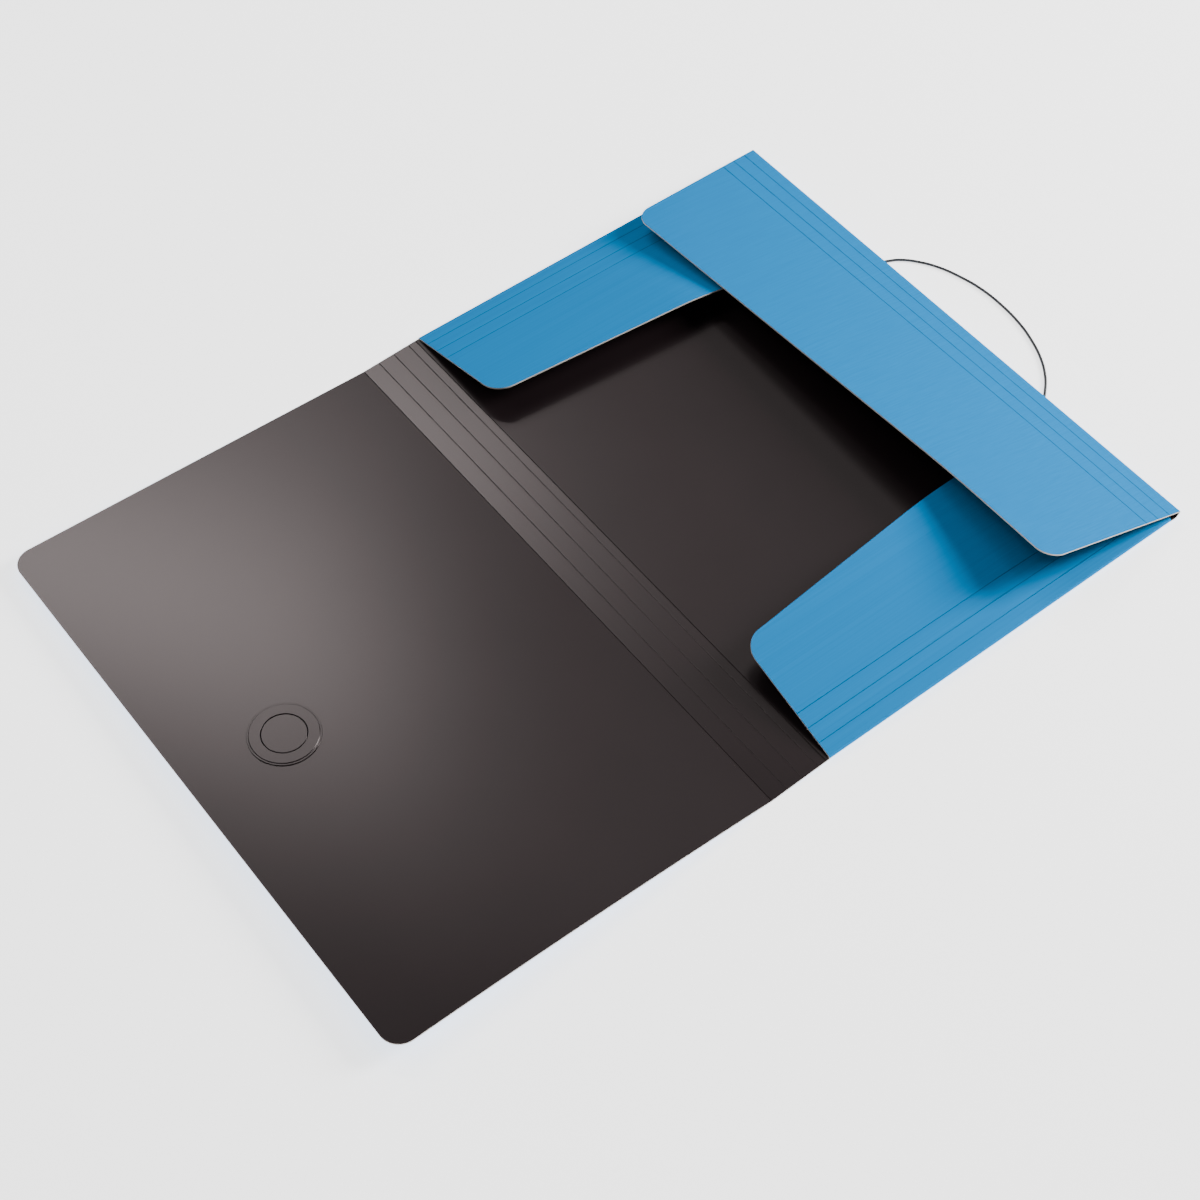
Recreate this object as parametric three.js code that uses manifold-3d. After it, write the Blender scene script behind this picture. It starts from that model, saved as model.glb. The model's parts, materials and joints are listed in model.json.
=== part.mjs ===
// An elastic folder lying open: front cover thrown back, three pocket flaps folded in and springing up.
// Millimetres, +Z up. X runs from the cover's free edge to the fore-edge, Y from the foot to the head.
import Module from 'manifold-3d';
import {
  BufferAttribute, BufferGeometry, CatmullRomCurve3, CylinderGeometry, ExtrudeGeometry, Group,
  LatheGeometry, MathUtils, Matrix4, Mesh, MeshStandardMaterial, Quaternion, Shape, Vector2, Vector3,
} from 'three';
import { mergeVertices } from 'three/addons/utils/BufferGeometryUtils.js';

const wasm = await Module();
wasm.setup();

// The card and its scored lines
const cardThickness = 0.9;
const cornerRadius = 10;
const scoreDepth = 0.25;
const scoreHalfWidth = 0.6;
const hingeGap = 0.3;
const seatGap = 0.3;

// The flat sizes of the panels
const sheetHeight = 320.5;
const panelWidth = 226.2;
const spineWidth = 32.1;
const coverWidth = 202.8;
const spineScores = [4.5, 13.7, 22.9];

// The narrow wall between the back panel and the fore-edge flap
const foreWallHeight = 3.1;
const foreWallLean = 2.3;

// The fore-edge flap twists as it springs up, least at the head and most at the foot
const foreFlapWidth = 91;
const foreFlapEndInset = 7.7;
const foreFlapHeadTilt = 6.2;
const foreFlapFootTilt = 15.8;
const foreFlapTwistStart = 68;
const foreFlapTwistSoftness = 26;

// The head and foot flaps: wider towards the fore-edge, pressed down there by the fore-edge flap
const endFlapStart = 2;
const endFlapForeClearance = 3.5;
const endFlapSpineWidth = 65;
const endFlapForeWidth = 85;
const endFlapEndInset = 2.5;
const endFlapRise = 13.8;
const endFlapPressStart = 112;
const foldInnerGap = 0.4;

// Scored lines that let the three flaps take a thicker load
const flapScorePitch = 8.15;
const flapScoreCount = 3;

// How far the open cover stands off the table along its free edge, and how much it bows at the foot
const coverHeadLift = 5.8;
const coverFootLift = 9.9;
const coverFootBow = 0.95;

// The closure button under the open cover, and the ring that holds it on the inside
const buttonFromCrease = 153.4;
const buttonFromFoot = 157.6;
const spigotRadius = 11.2;
const spigotStand = 0.3;
const ringRadius = 17;
const ringThickness = 0.9;
const ringEdgeRound = 0.3;
const buttonBaseRadius = 15;
const buttonBaseThickness = 1;
const buttonStemRadius = 11;
const buttonHeadRadius = 17;
const buttonHeadThickness = 2.4;
const buttonEdgeRound = 0.6;

// The round elastic, its two punched holes and the bead that stops each end
const elasticDiameter = 1.5;
const elasticFromForeEdge = 33.75;
const elasticPastHeadFlap = 15.25;
const elasticPastFootFlap = 2.25;
const elasticHoleRadius = 1.95;
const elasticEndHeight = 5.2;
const stopRadius = 3.5;
const stopBoreRadius = 1.6;
const stopRoof = 0.8;
const stopEdgeRound = 0.5;

// Heights of the card's mid surface
const half = cardThickness / 2;
const panelUnderside = elasticDiameter + seatGap;
const panelMiddle = panelUnderside + half;
const panelInner = panelUnderside + cardThickness;
const coverCreaseMiddle = half;
const foreCreaseMiddle = panelMiddle + foreWallHeight;

// Places along X and Y: the sheet without its elastic is centred on the origin
const spineDrop = panelMiddle - coverCreaseMiddle;
const spineRun = Math.sqrt(spineWidth ** 2 - spineDrop ** 2);
const foreCreaseRun = panelWidth + foreWallLean;
const spineCreaseX = (spineRun + coverWidth - foreCreaseRun - half) / 2;
const coverCreaseX = spineCreaseX - spineRun;
const foreCornerX = spineCreaseX + panelWidth;
const foreCreaseX = spineCreaseX + foreCreaseRun;
const footY = -sheetHeight / 2;
const headY = sheetHeight / 2;
const hingeClear = half + hingeGap;
const foldRadius = (cardThickness + foldInnerGap) / 2;
const foldInset = half + foldRadius;
const endFlapLeft = spineCreaseX + endFlapStart;
const endFlapRight = foreCornerX - endFlapForeClearance;
const elasticHoleX = foreCornerX - elasticFromForeEdge;
const elasticHeadY = headY - endFlapForeWidth - elasticPastHeadFlap;
const elasticFootY = footY + endFlapForeWidth + elasticPastFootFlap;

const flapScores = Array.from({ length: flapScoreCount }, (_, i) => flapScorePitch * (i + 1));

const blueCard = new MeshStandardMaterial({ color: 0x2a90c4, roughness: 0.55, metalness: 0 });
const brownCard = new MeshStandardMaterial({ color: 0x5c4e4c, roughness: 0.5, metalness: 0 });
const brownPlastic = new MeshStandardMaterial({ color: 0x55484a, roughness: 0.45, metalness: 0 });
const bluePlastic = new MeshStandardMaterial({ color: 0x1f7fb4, roughness: 0.4, metalness: 0 });
const blackCord = new MeshStandardMaterial({ color: 0x1b1b1d, roughness: 0.7, metalness: 0 });
const blackPlastic = new MeshStandardMaterial({ color: 0x202022, roughness: 0.4, metalness: 0 });

// A closed geometry as a solid that can be joined and cut
function toSolid(geometry, matrix = new Matrix4()) {
  const bare = geometry.clone();
  bare.deleteAttribute('normal');
  bare.deleteAttribute('uv');
  bare.applyMatrix4(matrix);
  const merged = mergeVertices(bare, 1e-4);
  const vertProperties = new Float32Array(merged.attributes.position.array);
  const triVerts = new Uint32Array(merged.index.array);
  return new wasm.Manifold(new wasm.Mesh({ numProp: 3, vertProperties, triVerts }));
}

function toGeometry(solid) {
  const { vertProperties, triVerts } = solid.getMesh();
  const geometry = new BufferGeometry();
  geometry.setAttribute('position', new BufferAttribute(new Float32Array(vertProperties), 3));
  geometry.setIndex(new BufferAttribute(new Uint32Array(triVerts), 1));
  geometry.computeVertexNormals();
  return geometry;
}

// A sheet of card between two skins. Each row lies across the sheet with half a thickness and the
// depth of a scored line in its upper skin; place(row, share) gives the mid surface, share 0 to 1.
function cardSheet(rows, columnCount, place) {
  const stride = columnCount + 1;
  const points = [];
  const faces = [];
  rows.forEach((row, i) => {
    for (let j = 0; j < stride; j += 1) {
      points.push(...place(row, j / columnCount).toArray());
    }
    for (let j = 0; i > 0 && j < columnCount; j += 1) {
      const a = (i - 1) * stride + j;
      faces.push(a, a + 1, a + stride, a + 1, a + stride + 1, a + stride);
    }
  });
  const middle = new BufferGeometry();
  middle.setAttribute('position', new BufferAttribute(new Float32Array(points), 3));
  middle.setIndex(faces);
  middle.computeVertexNormals();

  const { position, normal } = middle.attributes;
  const count = position.count;
  const skins = new Float32Array(count * 6);
  for (let k = 0; k < count; k += 1) {
    const row = rows[Math.floor(k / stride)];
    const point = new Vector3().fromBufferAttribute(position, k);
    const out = new Vector3().fromBufferAttribute(normal, k);
    point.clone().addScaledVector(out, row.half - row.score).toArray(skins, k * 3);
    point.clone().addScaledVector(out, -row.half).toArray(skins, (count + k) * 3);
  }

  const index = [...faces];
  for (let k = 0; k < faces.length; k += 3) {
    index.push(count + faces[k], count + faces[k + 2], count + faces[k + 1]);
  }
  const lastRow = rows.length - 1;
  const rim = [];
  for (let j = 0; j < columnCount; j += 1) rim.push(j);
  for (let i = 0; i < lastRow; i += 1) rim.push(i * stride + columnCount);
  for (let j = columnCount; j > 0; j -= 1) rim.push(lastRow * stride + j);
  for (let i = lastRow; i > 0; i -= 1) rim.push(i * stride);
  rim.forEach((a, k) => {
    const b = rim[(k + 1) % rim.length];
    index.push(a, count + a, b, b, count + a, count + b);
  });
  const sheet = new BufferGeometry();
  sheet.setAttribute('position', new BufferAttribute(skins, 3));
  sheet.setIndex(index);
  return sheet;
}

function plainRow(across) {
  return { across, half, score: 0 };
}

// A rounded hinge end, centred on its fold line
function hingeRows() {
  return [80, 55, 28].map((degrees) => {
    const angle = MathUtils.degToRad(degrees);
    return { across: -half * Math.sin(angle), half: half * Math.cos(angle), score: 0 };
  });
}

function scoreRows(scores) {
  return scores.flatMap((across) => [
    plainRow(across - scoreHalfWidth),
    { across, half, score: scoreDepth },
    plainRow(across + scoreHalfWidth),
  ]);
}

// Rows that close on the free edge as a round corner does
function cornerRows(width) {
  return [0, 18, 36, 54, 72, 90].map((degrees) => (
    plainRow(width - cornerRadius * (1 - Math.sin(MathUtils.degToRad(degrees))))
  ));
}

// How far a round corner draws in a row's end
function cornerInset(across, width) {
  const into = MathUtils.clamp((across - width + cornerRadius) / cornerRadius, 0, 1);
  return cornerRadius * (1 - Math.sqrt(1 - into ** 2));
}

// The front cover's mid surface: straight along its head, bowed along its foot
function coverPoint(across, y) {
  const towardsFoot = (headY - y) / sheetHeight;
  const lift = MathUtils.lerp(coverHeadLift, coverFootLift, towardsFoot);
  const bow = coverFootBow * towardsFoot;
  const share = across / coverWidth;
  const bowed = 1 - (1 - share) ** 2;
  const z = coverCreaseMiddle + lift * ((1 - bow) * share + bow * bowed);
  return new Vector3(coverCreaseX - across, y, z);
}

// The closure's own frame: its origin in the cover's mid surface, +Z square out of the inside
function closureFrame() {
  const y = footY + buttonFromFoot;
  const point = coverPoint(buttonFromCrease, y);
  const alongX = coverPoint(buttonFromCrease - 1, y).sub(point);
  const alongY = coverPoint(buttonFromCrease, y + 1).sub(point);
  const upright = new Vector3(0, 0, 1);
  const normal = alongX.cross(alongY).normalize();
  const turn = new Quaternion().setFromUnitVectors(upright, normal);
  return { point, turn, tilt: normal.angleTo(upright) };
}

function frontCover(frame) {
  const rows = [
    ...hingeRows(),
    ...[0, 0.2, 0.4, 0.6, 0.8].map((share) => plainRow(share * coverWidth)),
    ...cornerRows(coverWidth),
  ];
  const card = cardSheet(rows, 12, ({ across }, share) => {
    const inset = cornerInset(across, coverWidth);
    return coverPoint(across, MathUtils.lerp(footY + inset, headY - inset, share));
  });
  const holeRadius = spigotRadius + hingeGap;
  const punch = new CylinderGeometry(holeRadius, holeRadius, cardThickness * 4, 48);
  const matrix = new Matrix4().compose(frame.point, frame.turn, new Vector3(1, 1, 1));
  const hole = toSolid(punch.rotateX(Math.PI / 2), matrix);
  return toGeometry(toSolid(card).subtract(hole));
}

// The spine: a flat strip that slopes from the raised back panel down to the cover's crease
function spineStrip() {
  const rows = [
    ...hingeRows(),
    plainRow(0),
    ...scoreRows(spineScores),
    plainRow(spineWidth - hingeClear),
  ];
  return cardSheet(rows, 1, ({ across }, share) => {
    const x = spineCreaseX - (across / spineWidth) * spineRun;
    const z = panelMiddle - (across / spineWidth) * spineDrop;
    return new Vector3(x, MathUtils.lerp(footY, headY, share), z);
  });
}

// The back panel's flat part, drawn in where a head or foot flap is folded over
function panelPlate() {
  const left = spineCreaseX + hingeClear;
  const right = foreCornerX - cardThickness;
  const outline = new Shape([
    new Vector2(left, footY),
    new Vector2(endFlapLeft, footY),
    new Vector2(endFlapLeft, footY + foldInset),
    new Vector2(endFlapRight, footY + foldInset),
    new Vector2(endFlapRight, footY),
    new Vector2(right, footY),
    new Vector2(right, headY),
    new Vector2(endFlapRight, headY),
    new Vector2(endFlapRight, headY - foldInset),
    new Vector2(endFlapLeft, headY - foldInset),
    new Vector2(endFlapLeft, headY),
    new Vector2(left, headY),
  ]);
  const plate = new ExtrudeGeometry(outline, { depth: cardThickness, bevelEnabled: false });
  return plate.translate(0, 0, panelUnderside);
}

// The fore-edge wall leans outwards, and its inner edge ends just under the flap it carries
function foreWall() {
  const rise = new Vector2(foreWallLean, foreWallHeight);
  const fullLength = rise.length();
  const miter = half * Math.tan(rise.angle() / 2);
  rise.normalize();
  const length = fullLength - (hingeClear + half * rise.x) / rise.y;
  const topX = foreCornerX + rise.x * length;
  const topZ = panelMiddle + rise.y * length;
  const start = foreCornerX - cardThickness * 2;
  const section = new Shape([
    new Vector2(start, panelUnderside),
    new Vector2(foreCornerX + miter, panelUnderside),
    new Vector2(topX + rise.y * half, topZ - rise.x * half),
    new Vector2(topX - rise.y * half, topZ + rise.x * half),
    new Vector2(foreCornerX - miter, panelInner),
    new Vector2(start, panelInner),
  ]);
  const wall = new ExtrudeGeometry(section, { depth: sheetHeight, bevelEnabled: false });
  return wall.rotateX(Math.PI / 2).translate(0, headY, 0);
}

// A head or foot flap's mid surface, as its distance in from the sheet's edge and its height
function endFlapSection(row, x) {
  if (row.tuck) return { inward: foldInset + row.tuck, z: panelMiddle };
  if (row.turn !== undefined) {
    const inward = foldInset - foldRadius * Math.cos(row.turn);
    return { inward, z: panelMiddle + foldRadius * (1 + Math.sin(row.turn)) };
  }
  const lastScore = flapScores.at(-1) + scoreHalfWidth;
  const width = MathUtils.mapLinear(x, endFlapLeft, endFlapRight, endFlapSpineWidth, endFlapForeWidth);
  const stretch = (width - lastScore) / (endFlapSpineWidth - lastScore);
  const inward = row.across > lastScore ? lastScore + (row.across - lastScore) * stretch : row.across;
  const pressed = MathUtils.smoothstep(x, endFlapLeft + endFlapPressStart, endFlapRight);
  const rise = endFlapRise * (1 - pressed);
  const z = panelMiddle + foldRadius * 2 + rise * ((inward - foldInset) / (width - foldInset));
  return { inward, z };
}

// A head (side 1) or foot (side -1) flap, tucked into the panel's edge and folded round over it
function endFlap(side) {
  const rows = [
    { ...plainRow(0), tuck: cardThickness },
    ...[-90, -54, -18, 18, 54, 90].map((degrees) => (
      { ...plainRow(0), turn: MathUtils.degToRad(degrees) }
    )),
    ...scoreRows(flapScores),
    plainRow((endFlapSpineWidth + flapScores.at(-1)) / 2),
    ...cornerRows(endFlapSpineWidth),
  ];
  return cardSheet(rows, 16, (row, share) => {
    const taper = endFlapEndInset * (row.across / endFlapSpineWidth);
    const inset = taper + cornerInset(row.across, endFlapSpineWidth);
    const fromSpine = side < 0 ? share : 1 - share;
    const x = MathUtils.lerp(endFlapLeft + inset, endFlapRight - inset, fromSpine);
    const { inward, z } = endFlapSection(row, x);
    return new Vector3(x, side * (headY - inward), z);
  });
}

// The back panel with its fore-edge wall, head flap and foot flap: one folded sheet
function backPanel() {
  const panel = [foreWall(), endFlap(1), endFlap(-1)].reduce(
    (joined, piece) => joined.add(toSolid(piece)),
    toSolid(panelPlate()),
  );
  const punched = [elasticHeadY, elasticFootY].reduce((card, y) => {
    const punch = new CylinderGeometry(elasticHoleRadius, elasticHoleRadius, cardThickness * 4, 32);
    punch.rotateX(Math.PI / 2).translate(elasticHoleX, y, panelMiddle);
    return card.subtract(toSolid(punch));
  }, panel);
  return toGeometry(punched);
}

// The fore-edge flap turns about its fold line, at a tilt that eases from foot to head
function foreEdgeFlap() {
  const ramp = (fromFoot) => {
    const past = fromFoot - foreFlapTwistStart;
    return past + Math.hypot(past, foreFlapTwistSoftness);
  };
  const rows = [
    ...hingeRows(),
    plainRow(0),
    ...scoreRows(flapScores),
    plainRow((foreFlapWidth + flapScores.at(-1)) / 2),
    ...cornerRows(foreFlapWidth),
  ];
  return cardSheet(rows, 16, ({ across }, share) => {
    const taper = foreFlapEndInset * Math.max(across / foreFlapWidth, 0);
    const inset = taper + cornerInset(across, foreFlapWidth);
    const y = MathUtils.lerp(footY + inset, headY - inset, share);
    const eased = ramp(y - footY) / ramp(sheetHeight);
    const tilt = MathUtils.degToRad(MathUtils.lerp(foreFlapFootTilt, foreFlapHeadTilt, eased));
    const x = foreCreaseX - across * Math.cos(tilt);
    return new Vector3(x, y, foreCreaseMiddle + across * Math.sin(tilt));
  });
}

// A turned piece about +Z from its profile of [radius, height]
function turned(profile, segments) {
  const points = profile.map(([radius, height]) => new Vector2(radius, height));
  return new LatheGeometry(points, segments).rotateX(Math.PI / 2);
}

// The button: a spigot through the cover, a base under it, a groove for the elastic and a wide head
// whose rim reaches the table.
function closureButton({ point, tilt }) {
  const flat = buttonHeadRadius - buttonEdgeRound;
  const above = point.z - flat * Math.sin(tilt) - buttonEdgeRound;
  const bottom = -buttonEdgeRound - above / Math.cos(tilt);
  const baseTop = -half - seatGap;
  const baseBottom = baseTop - buttonBaseThickness;
  const headTop = bottom + buttonHeadThickness;
  const spigotTop = half + spigotStand;
  return turned([
    [0, bottom],
    [flat, bottom],
    [buttonHeadRadius, bottom + buttonEdgeRound],
    [buttonHeadRadius, headTop - buttonEdgeRound],
    [flat, headTop],
    [buttonStemRadius, headTop],
    [buttonStemRadius, baseBottom],
    [buttonBaseRadius, baseBottom],
    [buttonBaseRadius, baseTop],
    [spigotRadius, baseTop],
    [spigotRadius, spigotTop],
    [0, spigotTop],
  ], 48);
}

function buttonRing() {
  const inner = spigotRadius + hingeGap;
  const low = half + seatGap;
  const high = low + ringThickness;
  return turned([
    [inner, low],
    [ringRadius, low],
    [ringRadius, high - ringEdgeRound],
    [ringRadius - ringEdgeRound, high],
    [inner + ringEdgeRound, high],
    [inner, high - ringEdgeRound],
    [inner, low],
  ], 48);
}

// A bead with a blind bore that takes the elastic's end, standing on the panel's inside
function cordStop() {
  const roof = elasticEndHeight + seatGap;
  const top = roof + stopRoof;
  const bottom = panelInner + seatGap;
  return turned([
    [0, roof],
    [stopBoreRadius, roof],
    [stopBoreRadius, bottom],
    [stopRadius - stopEdgeRound, bottom],
    [stopRadius, bottom + stopEdgeRound],
    [stopRadius, top - stopEdgeRound],
    [stopRadius - stopEdgeRound, top],
    [0, top],
  ], 24);
}

// The elastic: down through the head hole, under the panel, round past the fore-edge and back
function elasticCord() {
  const radius = elasticDiameter / 2;
  const low = radius + 0.01;
  const leg = elasticHoleX - 0.4;
  const route = [
    [leg, elasticHeadY, elasticEndHeight],
    [leg + 0.02, elasticHeadY, 3.9],
    [leg + 0.5, elasticHeadY, 2.1],
    [leg + 1.8, elasticHeadY, 1.02],
    [leg + 3.6, elasticHeadY + 0.1, low],
    [leg + 5.6, elasticHeadY + 0.3, low],
    [206, 60.6, low],
    [218, 60.1, low],
    [228, 57.7, low],
    [236.8, 54.3, low],
    [241.9, 51.3, low],
    [249.1, 43.5, low],
    [254.7, 34, low],
    [258.6, 22.7, low],
    [261.2, 10.2, low],
    [261.7, -5, low],
    [259.8, -21.5, low],
    [257.1, -31.5, low],
    [252.1, -43.8, low],
    [245.4, -54.2, low],
    [238.2, -61.6, low],
    [230, -67.6, low],
    [219, -71.8, low],
    [207, -73.2, low],
    [leg + 5.6, elasticFootY, low],
    [leg + 3.6, elasticFootY, low],
    [leg + 1.8, elasticFootY, 1.02],
    [leg + 0.5, elasticFootY, 2.1],
    [leg + 0.02, elasticFootY, 3.9],
    [leg, elasticFootY, elasticEndHeight],
  ].map(([x, y, z]) => new Vector3(x, y, z));
  const corners = Array.from({ length: 8 }, (_, i) => {
    const angle = (i * Math.PI) / 4;
    return new Vector2(radius * Math.cos(angle), radius * Math.sin(angle));
  });
  const extrudePath = new CatmullRomCurve3(route);
  return new ExtrudeGeometry(new Shape(corners), { steps: 78, bevelEnabled: false, extrudePath });
}

const folder = new Group();

function addPiece(name, geometry, material) {
  const piece = new Mesh(geometry, material);
  piece.name = name;
  folder.add(piece);
  return piece;
}

const closure = closureFrame();
addPiece('front_cover', frontCover(closure), brownCard);
addPiece('spine_strip', spineStrip(), brownCard);
addPiece('back_panel', backPanel(), brownCard);
addPiece('fore_edge_flap', foreEdgeFlap(), blueCard);

const closurePieces = [
  addPiece('closure_button', closureButton(closure), bluePlastic),
  addPiece('button_ring', buttonRing(), brownPlastic),
];
closurePieces.forEach((piece) => {
  piece.position.copy(closure.point);
  piece.quaternion.copy(closure.turn);
});

addPiece('cord_stop_head', cordStop(), blackPlastic).position.set(elasticHoleX, elasticHeadY, 0);
addPiece('cord_stop_foot', cordStop(), blackPlastic).position.set(elasticHoleX, elasticFootY, 0);
addPiece('elastic_cord', elasticCord(), blackCord);

export default folder;
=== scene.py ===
import json
import math

import bmesh
import bpy
from mathutils import Matrix, Vector


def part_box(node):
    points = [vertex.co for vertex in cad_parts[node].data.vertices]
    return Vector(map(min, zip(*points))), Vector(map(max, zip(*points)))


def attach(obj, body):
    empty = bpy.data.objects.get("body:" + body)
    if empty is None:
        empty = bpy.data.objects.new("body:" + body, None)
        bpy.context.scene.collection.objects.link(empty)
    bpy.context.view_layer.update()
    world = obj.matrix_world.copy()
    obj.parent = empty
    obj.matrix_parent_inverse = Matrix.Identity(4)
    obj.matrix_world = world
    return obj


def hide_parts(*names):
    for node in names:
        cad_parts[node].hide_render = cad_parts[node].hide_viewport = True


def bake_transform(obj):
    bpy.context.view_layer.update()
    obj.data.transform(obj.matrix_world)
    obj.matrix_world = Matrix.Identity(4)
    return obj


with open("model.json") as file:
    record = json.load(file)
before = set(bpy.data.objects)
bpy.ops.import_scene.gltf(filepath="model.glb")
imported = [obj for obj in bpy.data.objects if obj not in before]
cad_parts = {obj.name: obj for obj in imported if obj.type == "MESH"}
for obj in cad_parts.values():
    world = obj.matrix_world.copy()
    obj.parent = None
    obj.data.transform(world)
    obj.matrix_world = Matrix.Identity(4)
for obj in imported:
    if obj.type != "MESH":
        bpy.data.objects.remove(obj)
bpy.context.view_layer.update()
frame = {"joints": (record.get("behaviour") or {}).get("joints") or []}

mm = 0.001

# Places that the solid model gives: the three fold lines and the sheet's outer edges
foldLine = {joint["name"]: Vector(joint["pos_m"]) for joint in frame["joints"]}
spineFold = foldLine["spine_fold"]
coverFold = foldLine["cover_fold"]
foreFold = foldLine["fore_flap_fold"]
coverLow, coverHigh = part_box("front_cover")
footY, headY = coverLow.y, coverHigh.y

card = {
    "thickness": 0.9 * mm,
    "panelMiddle": spineFold.z,
    "foldReach": 1.5 * mm,     # how far a moving crease's own strip runs each side of its fold
    "blendReach": 1.4 * mm,    # the part of that strip that bends
    "creaseCuts": 6,           # steps in that strip on each side of its fold
    "scoreDepth": 0.2 * mm,
    "scoreHalfWidth": 0.36 * mm,
    "cornerRadius": 10 * mm,
    "cornerSteps": 12,
    "edgeBevel": 0.13 * mm,
    "edgeSteps": 2,
    "nearEnd": 0.1 * mm,       # an edge as close as this to its sheet's end butts against a crease
    "nearFold": 0.05 * mm,
    "smoothAngle": 20,
}

photoCamera = {
    "place": (-392.8 * mm, -498.2 * mm, 836.0 * mm),
    "azimuth": -38.21,
    "elevation": 54.32,
    "roll": 0.40,
    "lens": 65.22,
    "sensor": 36,
    "clipStart": 0.01,
}


def addCamera(settings):
    bpy.ops.object.camera_add(location=settings["place"])
    camera = bpy.context.object
    camera.name = "photoCamera"
    turn = Matrix.Rotation(math.radians(settings["azimuth"]), 4, "Z")
    tip = Matrix.Rotation(math.radians(90 - settings["elevation"]), 4, "X")
    roll = Matrix.Rotation(math.radians(settings["roll"]), 4, "Z")
    camera.rotation_euler = (turn @ tip @ roll).to_euler()
    camera.data.lens = settings["lens"]
    camera.data.sensor_width = settings["sensor"]
    camera.data.clip_start = settings["clipStart"]
    bpy.context.scene.camera = camera


addCamera(photoCamera)
print("stage: camera")


# Materials

def newMaterial(name, roughness, specular):
    material = bpy.data.materials.new(name)
    material.use_nodes = True
    shader = material.node_tree.nodes["Principled BSDF"]
    shader.inputs["Roughness"].default_value = roughness
    shader.inputs["Specular IOR Level"].default_value = specular
    return material, material.node_tree, shader


def link(tree, fromNode, fromName, toNode, toName):
    tree.links.new(fromNode.outputs[fromName], toNode.inputs[toName])


def objectPattern(tree, scale):
    coordinates = tree.nodes.new("ShaderNodeTexCoord")
    mapping = tree.nodes.new("ShaderNodeMapping")
    mapping.inputs["Scale"].default_value = scale
    link(tree, coordinates, "Object", mapping, "Vector")
    return mapping


def noiseOn(tree, settings):
    mapping = objectPattern(tree, settings["stretch"])
    noise = tree.nodes.new("ShaderNodeTexNoise")
    noise.inputs["Scale"].default_value = settings["scale"]
    noise.inputs["Detail"].default_value = settings["detail"]
    noise.inputs["Roughness"].default_value = settings["roughness"]
    link(tree, mapping, "Vector", noise, "Vector")
    return noise


def rampOn(tree, source, sourceName, stops):
    ramp = tree.nodes.new("ShaderNodeValToRGB")
    for element, (position, colour) in zip(ramp.color_ramp.elements, stops):
        element.position = position
        element.color = (*colour, 1)
    link(tree, source, sourceName, ramp, "Fac")
    return ramp


toneEnds = (0.3, 0.7)       # the heights of a noise at which its two tones are pure


def tonesOn(tree, noise, deep, pale):
    return rampOn(tree, noise, "Fac", zip(toneEnds, (deep, pale)))


def bumpFrom(tree, source, sourceName, settings, before=None):
    bump = tree.nodes.new("ShaderNodeBump")
    bump.inputs["Strength"].default_value = settings["bump"]
    bump.inputs["Distance"].default_value = settings["height"]
    link(tree, source, sourceName, bump, "Height")
    if before:
        link(tree, before, "Normal", bump, "Normal")
    return bump


blueOutside = {
    "pale": (0.0010, 0.218, 0.535),
    "deep": (0.0005, 0.196, 0.495),
    # The darkening of the blue on pressed lines below is painted shade in the score grooves
    "paintedScoreShade": 0.62,
    "roughness": 0.8,
    "gloss": 0.03,
    "ribs": {
        "stretch": (5, 1150, 250), "scale": 1.0, "detail": 2.0, "roughness": 0.6,
        "bump": 0.45, "height": 0.05 * mm,
    },
    "grain": {
        "stretch": (1, 1, 1), "scale": 2600, "detail": 2.0, "roughness": 0.6,
        "bump": 0.25, "height": 0.03 * mm,
    },
}


def makeBlueCard(name, settings, shade):
    material, tree, shader = newMaterial(name, settings["roughness"], settings["gloss"])
    ribs = noiseOn(tree, settings["ribs"])
    deep = [part * shade for part in settings["deep"]]
    pale = [part * shade for part in settings["pale"]]
    colour = tonesOn(tree, ribs, deep, pale)
    link(tree, colour, "Color", shader, "Base Color")
    ribBump = bumpFrom(tree, ribs, "Fac", settings["ribs"])
    grain = noiseOn(tree, settings["grain"])
    grainBump = bumpFrom(tree, grain, "Fac", settings["grain"], ribBump)
    link(tree, grainBump, "Normal", shader, "Normal")
    return material


brownInside = {
    "dark": (0.0095, 0.0060, 0.0070),
    "light": (0.0115, 0.0074, 0.0084),
    "roughness": 0.285,
    "gloss": 0.5,
    "glossTint": (1.0, 0.87, 0.86),
    "cloud": {"stretch": (1, 1, 1), "scale": 22, "detail": 3.0, "roughness": 0.5},
    "grain": {
        "stretch": (1, 1, 1), "scale": 1900, "detail": 2.0, "roughness": 0.6,
        "bump": 0.03, "height": 0.03 * mm,
    },
}


def makeBrownCard(settings):
    material, tree, shader = newMaterial("brownSatinCard", settings["roughness"], settings["gloss"])
    shader.inputs["Specular Tint"].default_value = (*settings["glossTint"], 1)
    cloud = noiseOn(tree, settings["cloud"])
    colour = tonesOn(tree, cloud, settings["dark"], settings["light"])
    link(tree, colour, "Color", shader, "Base Color")
    grain = noiseOn(tree, settings["grain"])
    bump = bumpFrom(tree, grain, "Fac", settings["grain"])
    link(tree, bump, "Normal", shader, "Normal")
    return material


cutEdge = {
    "pale": (0.64, 0.59, 0.54),
    "deep": (0.50, 0.46, 0.42),
    "roughness": 0.8,
    "gloss": 0.2,
    "fibres": {
        "stretch": (1, 1, 4), "scale": 1400, "detail": 3.0, "roughness": 0.6,
        "bump": 0.4, "height": 0.05 * mm,
    },
}


def makeCutEdge(settings):
    material, tree, shader = newMaterial("cutCardEdge", settings["roughness"], settings["gloss"])
    fibres = noiseOn(tree, settings["fibres"])
    colour = tonesOn(tree, fibres, settings["deep"], settings["pale"])
    link(tree, colour, "Color", shader, "Base Color")
    bump = bumpFrom(tree, fibres, "Fac", settings["fibres"])
    link(tree, bump, "Normal", shader, "Normal")
    return material


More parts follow.
